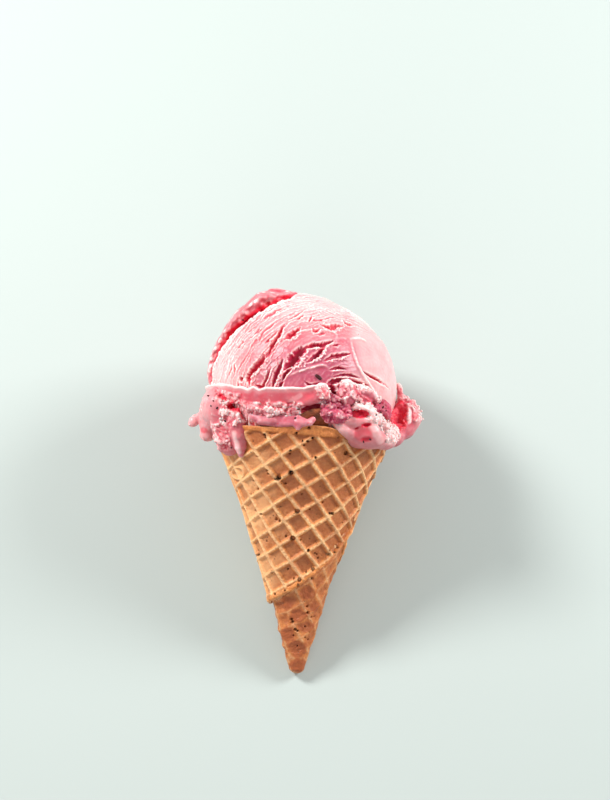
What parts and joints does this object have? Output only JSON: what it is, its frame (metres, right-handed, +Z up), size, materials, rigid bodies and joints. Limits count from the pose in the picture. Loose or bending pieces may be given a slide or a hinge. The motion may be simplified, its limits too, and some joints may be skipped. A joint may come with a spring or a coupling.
{
  "type": "ice cream cone",
  "caption": "Rolled waffle cone with a square grid of pockets and one large scoop of strawberry ice cream with torn ridges, a folded edge and a ragged collar, lying on its back.",
  "frame": {"origin": "on the floor, under the middle of the whole part's bounding box", "axes": "+Y runs along the floor from the cone's tip to the scoop, +Z is up, +X is to the right seen from the tip; the cone's axis rises 20 degrees from +Y towards +Z"},
  "size_m": [0.0875, 0.1371, 0.0737],
  "materials": {
    "waffle": "baked, matte, golden brown with browner pockets",
    "strawberry": "frozen, satin, pale pink with red torn grooves"
  },
  "bodies": {
    "root": {"waffle_cone": "waffle", "ice_cream": "strawberry"}
  },
  "joints": []
}
